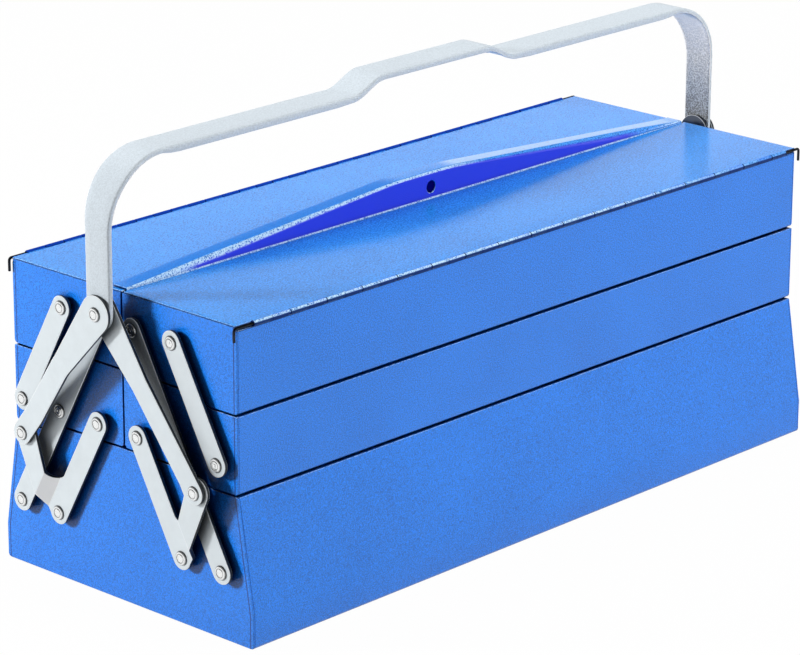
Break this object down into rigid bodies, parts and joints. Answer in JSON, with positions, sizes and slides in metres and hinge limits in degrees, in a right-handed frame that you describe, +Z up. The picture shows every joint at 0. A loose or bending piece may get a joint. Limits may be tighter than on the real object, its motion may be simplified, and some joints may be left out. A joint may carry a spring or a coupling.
{
  "type": "cantilever tool box",
  "caption": "Blue sheet-steel cantilever tool box with a flared base, spreading trays on riveted zinc-plated links, two hinged lids with a locking ridge and a folding strap handle.",
  "frame": {"origin": "middle of the underside of the base, on the surface that the box stands on", "axes": "+X along the box to its right end, -Y to the front, +Z up"},
  "size_m": [0.5822, 0.223, 0.2996],
  "materials": {
    "blue_paint": "gloss blue stove enamel with a fine orange-peel texture",
    "grey_paint": "light silver-grey satin paint",
    "link_zinc": "bright zinc-plated steel strip",
    "rivet_zinc": "bright zinc-plated rivets",
    "dark_wire": "dark painted hinge wire"
  },
  "bodies": {
    "base": {"base_trough": "blue_paint", "base_left_end": "blue_paint", "base_right_end": "blue_paint", "base_rivets": "rivet_zinc"},
    "front_double_links": {"front_left_double_link": "link_zinc", "front_right_double_link": "link_zinc"},
    "back_double_links": {"back_left_double_link": "link_zinc", "back_right_double_link": "link_zinc"},
    "front_bent_plates": {"front_left_bent_plate": "link_zinc", "front_right_bent_plate": "link_zinc", "front_plate_rivets": "rivet_zinc"},
    "back_bent_plates": {"back_left_bent_plate": "link_zinc", "back_right_bent_plate": "link_zinc", "back_plate_rivets": "rivet_zinc"},
    "front_middle_tray": {"front_middle_trough": "blue_paint", "front_middle_left_end": "blue_paint", "front_middle_right_end": "blue_paint", "front_middle_rivets": "rivet_zinc"},
    "back_middle_tray": {"back_middle_trough": "blue_paint", "back_middle_left_end": "blue_paint", "back_middle_right_end": "blue_paint", "back_middle_rivets": "rivet_zinc"},
    "front_upper_tray": {"front_upper_trough": "blue_paint", "front_upper_left_end": "blue_paint", "front_upper_right_end": "blue_paint", "front_upper_rivets": "rivet_zinc", "front_hinge_wire": "dark_wire"},
    "back_upper_tray": {"back_upper_trough": "blue_paint", "back_upper_left_end": "blue_paint", "back_upper_right_end": "blue_paint", "back_upper_rivets": "rivet_zinc", "back_hinge_wire": "dark_wire"},
    "front_short_links": {"front_left_short_link": "link_zinc", "front_right_short_link": "link_zinc"},
    "back_short_links": {"back_left_short_link": "link_zinc", "back_right_short_link": "link_zinc"},
    "handle_carrier": {"handle_pivots": "rivet_zinc", "handle_washers": "rivet_zinc"},
    "front_arms": {"front_left_arm": "link_zinc", "front_right_arm": "link_zinc", "front_arm_rivets": "rivet_zinc"},
    "back_arms": {"back_left_arm": "link_zinc", "back_right_arm": "link_zinc", "back_arm_rivets": "rivet_zinc"},
    "handle": {"handle": "grey_paint"},
    "front_lid": {"front_lid": "blue_paint"},
    "back_lid": {"back_lid": "blue_paint"}
  },
  "joints": [
    {"name": "fold_turn", "type": "hinge", "parent": "base", "child": "front_double_links", "pos_m": [0, -0.0899, 0.0462], "axis": [1, 0, 0], "range_deg": [0, 57.8]},
    {"name": "back_double_links_turn", "type": "hinge", "parent": "base", "child": "back_double_links", "pos_m": [0, 0.0899, 0.0462], "axis": [1, 0, 0], "range_deg": [-57.8, 0]},
    {"name": "front_bent_plates_turn", "type": "hinge", "parent": "base", "child": "front_bent_plates", "pos_m": [0, -0.0555, 0.0462], "axis": [1, 0, 0], "range_deg": [0, 57.8]},
    {"name": "back_bent_plates_turn", "type": "hinge", "parent": "base", "child": "back_bent_plates", "pos_m": [0, 0.0555, 0.0462], "axis": [1, 0, 0], "range_deg": [-57.8, 0]},
    {"name": "front_middle_tray_turn", "type": "hinge", "parent": "front_double_links", "child": "front_middle_tray", "pos_m": [0, -0.05225, 0.1144], "axis": [1, 0, 0], "range_deg": [-57.8, 0]},
    {"name": "back_middle_tray_turn", "type": "hinge", "parent": "back_double_links", "child": "back_middle_tray", "pos_m": [0, 0.05225, 0.1144], "axis": [1, 0, 0], "range_deg": [0, 57.8]},
    {"name": "front_upper_tray_turn", "type": "hinge", "parent": "front_double_links", "child": "front_upper_tray", "pos_m": [0, -0.0146, 0.1826], "axis": [1, 0, 0], "range_deg": [-57.8, 0]},
    {"name": "back_upper_tray_turn", "type": "hinge", "parent": "back_double_links", "child": "back_upper_tray", "pos_m": [0, 0.0146, 0.1826], "axis": [1, 0, 0], "range_deg": [0, 57.8]},
    {"name": "front_short_links_turn", "type": "hinge", "parent": "front_middle_tray", "child": "front_short_links", "pos_m": [0, -0.08665, 0.1144], "axis": [1, 0, 0], "range_deg": [0, 57.8]},
    {"name": "back_short_links_turn", "type": "hinge", "parent": "back_middle_tray", "child": "back_short_links", "pos_m": [0, 0.08665, 0.1144], "axis": [1, 0, 0], "range_deg": [-57.8, 0]},
    {"name": "handle_carrier_slide", "type": "slide", "parent": "base", "child": "handle_carrier", "axis": [0, 0, -1], "range_m": [0, 0.08127]},
    {"name": "front_arms_turn", "type": "hinge", "parent": "handle_carrier", "child": "front_arms", "pos_m": [0, 0, 0.1931], "axis": [1, 0, 0], "range_deg": [-23.86, 0]},
    {"name": "back_arms_turn", "type": "hinge", "parent": "handle_carrier", "child": "back_arms", "pos_m": [0, 0, 0.1931], "axis": [1, 0, 0], "range_deg": [0, 23.86]},
    {"name": "handle_swing", "type": "hinge", "parent": "handle_carrier", "child": "handle", "pos_m": [0, 0, 0.1931], "axis": [1, 0, 0], "range_deg": [-53, 53]},
    {"name": "front_lid_turn", "type": "hinge", "parent": "front_upper_tray", "child": "front_lid", "pos_m": [0, -0.1004, 0.2024], "axis": [1, 0, 0], "range_deg": [0, 250]},
    {"name": "back_lid_turn", "type": "hinge", "parent": "back_upper_tray", "child": "back_lid", "pos_m": [0, 0.1004, 0.2024], "axis": [1, 0, 0], "range_deg": [-250, 0]}
  ],
  "couplings": [
    {"joint": "back_double_links_turn", "follows": "fold_turn", "ratio": -1},
    {"joint": "front_bent_plates_turn", "follows": "fold_turn", "ratio": 1},
    {"joint": "back_bent_plates_turn", "follows": "fold_turn", "ratio": -1},
    {"joint": "front_middle_tray_turn", "follows": "fold_turn", "ratio": -1},
    {"joint": "back_middle_tray_turn", "follows": "fold_turn", "ratio": 1},
    {"joint": "front_upper_tray_turn", "follows": "fold_turn", "ratio": -1},
    {"joint": "back_upper_tray_turn", "follows": "fold_turn", "ratio": 1},
    {"joint": "front_short_links_turn", "follows": "fold_turn", "ratio": 1},
    {"joint": "back_short_links_turn", "follows": "fold_turn", "ratio": -1},
    {"joint": "handle_carrier_slide", "follows": "fold_turn", "m_per_rad": 0.080458},
    {"joint": "front_arms_turn", "follows": "fold_turn", "ratio": -0.41257},
    {"joint": "back_arms_turn", "follows": "fold_turn", "ratio": 0.41257},
    {"joint": "back_lid_turn", "follows": "front_lid_turn", "ratio": -1}
  ]
}
